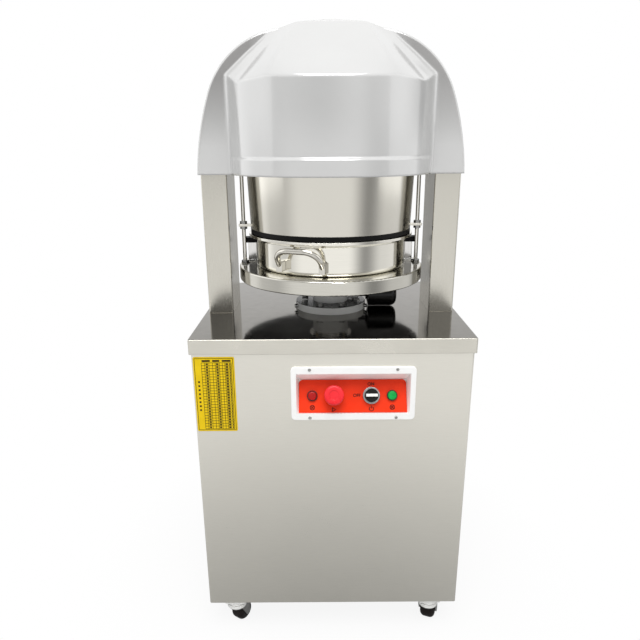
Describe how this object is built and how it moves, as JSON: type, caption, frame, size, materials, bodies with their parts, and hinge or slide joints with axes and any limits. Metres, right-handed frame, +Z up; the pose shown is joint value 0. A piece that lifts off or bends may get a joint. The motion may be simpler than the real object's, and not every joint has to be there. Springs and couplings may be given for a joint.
{
  "type": "dough divider",
  "caption": "Floor-standing electric dough divider: cabinet on casters, polished table, two columns, white hood, and a round pan on a platform that lifts under a knife drum.",
  "frame": {"origin": "on the floor, in the middle of the overall box, under the lift column's axis", "axes": "+Z up, front faces -Y, +X to the right of someone facing the machine"},
  "size_m": [0.526, 0.4796, 1.205],
  "materials": {
    "frame_paint": "satin",
    "cabinet_steel": "brushed",
    "table_steel": "polished",
    "column_steel": "brushed",
    "hood_plastic": "gloss",
    "drum_steel": "spun",
    "pan_steel": "polished",
    "platform_steel": "polished",
    "fastener_steel": "plain",
    "machined_steel": "machined",
    "bush_bronze": "machined",
    "seal_rubber": "matte",
    "black_plastic": "satin",
    "press_plastic": "matte",
    "panel_plastic": "gloss",
    "panel_red": "satin",
    "lens_red": "gloss",
    "lens_green": "gloss",
    "button_red": "gloss",
    "chart_yellow": "satin",
    "gear_iron": "painted",
    "caster_zinc": "plated",
    "wheel_rubber": "matte"
  },
  "bodies": {
    "frame": {"base_frame": "frame_paint", "cabinet_shell": "cabinet_steel", "rear_cover": "cabinet_steel", "rear_screws": "fastener_steel", "cable_gland": "black_plastic", "table_top": "table_steel", "column_left": "column_steel", "column_right": "column_steel", "head_frame": "frame_paint", "hood": "hood_plastic", "hood_screws": "fastener_steel", "knife_carrier": "frame_paint", "knife_rings": "machined_steel", "knife_blades": "machined_steel", "lift_guide": "machined_steel", "guide_bush": "bush_bronze", "guide_bolts": "fastener_steel", "flange_screws": "fastener_steel", "panel_frame": "panel_plastic", "panel_plate": "panel_red", "panel_screws": "fastener_steel", "lamp_bezels": "black_plastic", "red_lens": "lens_red", "green_lens": "lens_green", "start_collar": "black_plastic", "selector_bezel": "fastener_steel", "contact_blocks": "black_plastic", "control_box": "frame_paint", "chart_plate": "chart_yellow", "gearbox": "gear_iron", "motor": "gear_iron", "caster_plates": "caster_zinc"},
    "lift": {"lift_column": "machined_steel", "platform": "platform_steel", "platform_screws": "fastener_steel", "tie_rods": "fastener_steel", "rod_nuts": "fastener_steel", "drum": "drum_steel", "drum_seal": "seal_rubber", "pan_stops": "fastener_steel", "stop_pads": "seal_rubber"},
    "pan": {"dough_pan": "pan_steel", "pan_handles": "pan_steel"},
    "press": {"press_segments": "press_plastic", "press_studs": "machined_steel", "press_carrier": "frame_paint"},
    "cam": {"cam": "machined_steel"},
    "roller": {"cam_roller": "machined_steel"},
    "start": {"start_button": "button_red"},
    "selector": {"selector_knob": "black_plastic"},
    "clamp": {"clamp_knob": "black_plastic"},
    "swivel_front_left": {"fork_front_left": "caster_zinc"},
    "roll_front_left": {"wheel_front_left": "wheel_rubber"},
    "swivel_front_right": {"fork_front_right": "caster_zinc"},
    "roll_front_right": {"wheel_front_right": "wheel_rubber"},
    "swivel_rear_left": {"fork_rear_left": "caster_zinc"},
    "roll_rear_left": {"wheel_rear_left": "wheel_rubber"},
    "swivel_rear_right": {"fork_rear_right": "caster_zinc"},
    "roll_rear_right": {"wheel_rear_right": "wheel_rubber"}
  },
  "joints": [
    {"name": "lift_slide", "type": "slide", "parent": "frame", "child": "lift", "axis": [0, 0, 1], "range_m": [0, 0.08]},
    {"name": "pan_slide", "type": "slide", "parent": "lift", "child": "pan", "axis": [0, -1, 0], "range_m": [0, 0.36]},
    {"name": "press_slide", "type": "slide", "parent": "frame", "child": "press", "axis": [0, 0, 1], "range_m": [0, 0.045]},
    {"name": "cam_turn", "type": "hinge", "parent": "frame", "child": "cam", "pos_m": [0, 0, 0.338], "axis": [0, 1, 0], "range_deg": [0, 270.2]},
    {"name": "roller_spin", "type": "hinge", "parent": "lift", "child": "roller", "pos_m": [0, 0, 0.4], "axis": [0, 1, 0], "continuous": true},
    {"name": "start_push", "type": "slide", "parent": "frame", "child": "start", "axis": [0, 0.891, -0.454], "range_m": [0, 0.005], "stiffness_N_per_m": 400, "springref_m": -0.004},
    {"name": "selector_turn", "type": "hinge", "parent": "frame", "child": "selector", "pos_m": [0.073, -0.21047, 0.53701], "axis": [0, 0.891, -0.454], "range_deg": [0, 90]},
    {"name": "clamp_turn", "type": "hinge", "parent": "frame", "child": "clamp", "pos_m": [0.1, 0, 0.683], "axis": [1, 0, 0], "range_deg": [-80, 360]},
    {"name": "swivel_front_left", "type": "hinge", "parent": "frame", "child": "swivel_front_left", "pos_m": [-0.206, -0.201, 0.046], "axis": [0, 0, 1], "continuous": true},
    {"name": "roll_front_left", "type": "hinge", "parent": "swivel_front_left", "child": "roll_front_left", "pos_m": [-0.19911, -0.18998, 0.02], "axis": [0.848, -0.5299, 0], "continuous": true},
    {"name": "swivel_front_right", "type": "hinge", "parent": "frame", "child": "swivel_front_right", "pos_m": [0.206, -0.201, 0.046], "axis": [0, 0, 1], "continuous": true},
    {"name": "roll_front_right", "type": "hinge", "parent": "swivel_front_right", "child": "roll_front_right", "pos_m": [0.21045, -0.18878, 0.02], "axis": [0.9397, -0.342, 0], "continuous": true},
    {"name": "swivel_rear_left", "type": "hinge", "parent": "frame", "child": "swivel_rear_left", "pos_m": [-0.206, 0.201, 0.046], "axis": [0, 0, 1], "continuous": true},
    {"name": "roll_rear_left", "type": "hinge", "parent": "swivel_rear_left", "child": "roll_rear_left", "pos_m": [-0.1995, 0.21226, 0.02], "axis": [0.866, -0.5, 0], "continuous": true},
    {"name": "swivel_rear_right", "type": "hinge", "parent": "frame", "child": "swivel_rear_right", "pos_m": [0.206, 0.201, 0.046], "axis": [0, 0, 1], "continuous": true},
    {"name": "roll_rear_right", "type": "hinge", "parent": "swivel_rear_right", "child": "roll_rear_right", "pos_m": [0.19604, 0.20936, 0.02], "axis": [0.6428, 0.766, 0], "continuous": true}
  ],
  "couplings": [
    {"joint": "cam_turn", "follows": "lift_slide", "rad_per_m": 58.905}
  ]
}
